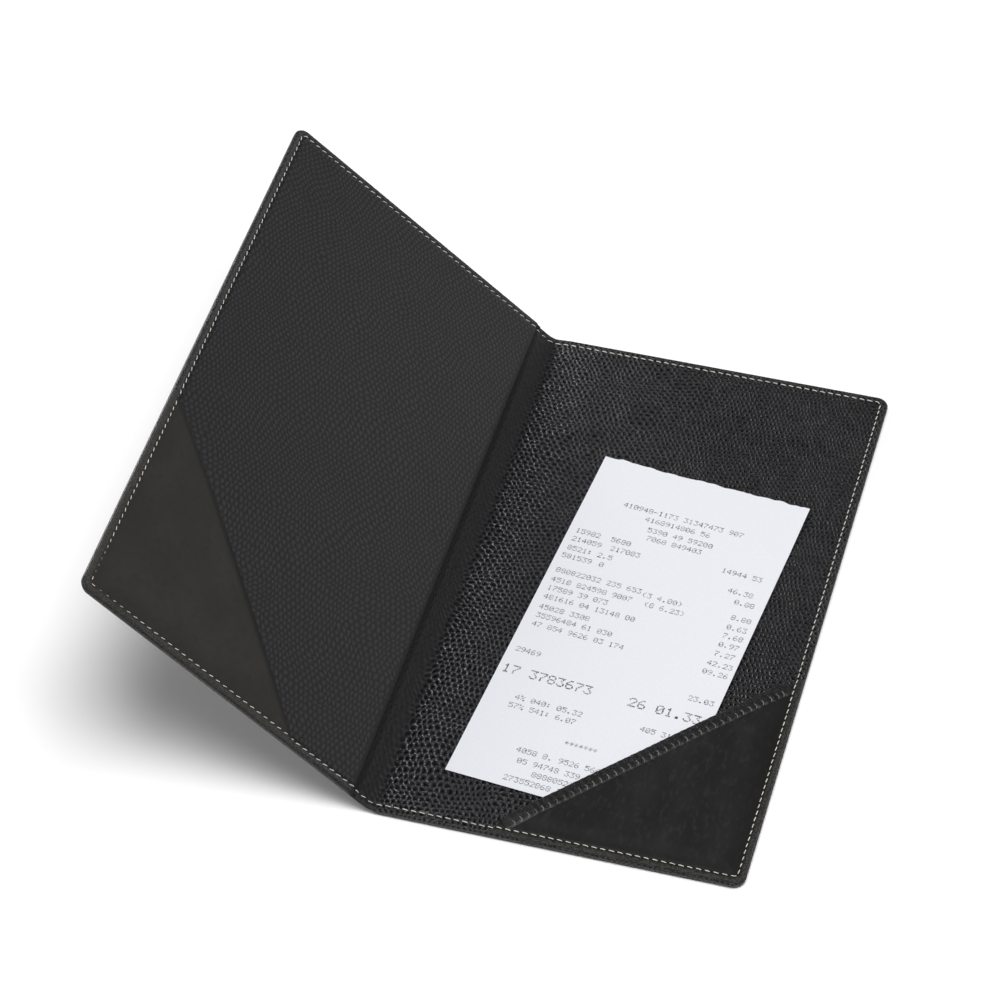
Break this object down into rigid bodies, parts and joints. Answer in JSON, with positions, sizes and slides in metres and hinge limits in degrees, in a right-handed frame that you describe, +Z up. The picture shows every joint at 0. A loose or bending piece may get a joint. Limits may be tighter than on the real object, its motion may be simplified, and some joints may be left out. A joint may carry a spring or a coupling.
{
  "type": "guest check presenter",
  "caption": "Folding guest check presenter: two stiffened leatherette covers on a soft spine, lined and lock-stitched, with a corner pocket in each cover and a paper slip in one.",
  "frame": {"origin": "middle of the flat underside of the back cover", "axes": "+X from the spine to the back cover's fore edge, +Y from tail to head along the spine, +Z up out of the back cover's lining"},
  "size_m": [0.2327, 0.249, 0.0874],
  "materials": {
    "outer_leatherette": "satin",
    "lizard_lining": "satin",
    "greyboard": "matte",
    "back_pocket_leather": "matte",
    "front_pocket_leather": "matte",
    "hem_binding": "satin",
    "cream_thread": "matte",
    "dark_thread": "matte",
    "slip_paper": "matte"
  },
  "bodies": {
    "back_cover": {"back_outer_skin": "outer_leatherette", "back_board": "greyboard", "back_lining": "lizard_lining", "back_corner_pocket": "back_pocket_leather", "back_pocket_binding": "hem_binding", "back_pocket_overcast_thread": "dark_thread", "back_inner_thread": "cream_thread", "back_outer_thread": "cream_thread"},
    "spine": {"spine_outer_skin": "outer_leatherette", "spine_lining": "lizard_lining", "spine_inner_thread": "cream_thread", "spine_outer_thread": "cream_thread"},
    "front_cover": {"front_outer_skin": "outer_leatherette", "front_board": "greyboard", "front_lining": "lizard_lining", "front_corner_pocket": "front_pocket_leather", "front_inner_thread": "cream_thread", "front_outer_thread": "cream_thread"},
    "guest_check": {"guest_check": "slip_paper"}
  },
  "joints": [
    {"name": "back_fold", "type": "hinge", "parent": "back_cover", "child": "spine", "pos_m": [-0.06375, 0, 0.0004], "axis": [0, 1, 0], "range_deg": [-20, 70]},
    {"name": "front_fold", "type": "hinge", "parent": "spine", "child": "front_cover", "pos_m": [-0.07127, 0, 0.00314], "axis": [0, 1, 0], "range_deg": [-20, 70]},
    {"name": "check_slide", "type": "slide", "parent": "back_cover", "child": "guest_check", "axis": [0.0941, 0.9956, 0], "range_m": [-0.008, 0.06]}
  ]
}
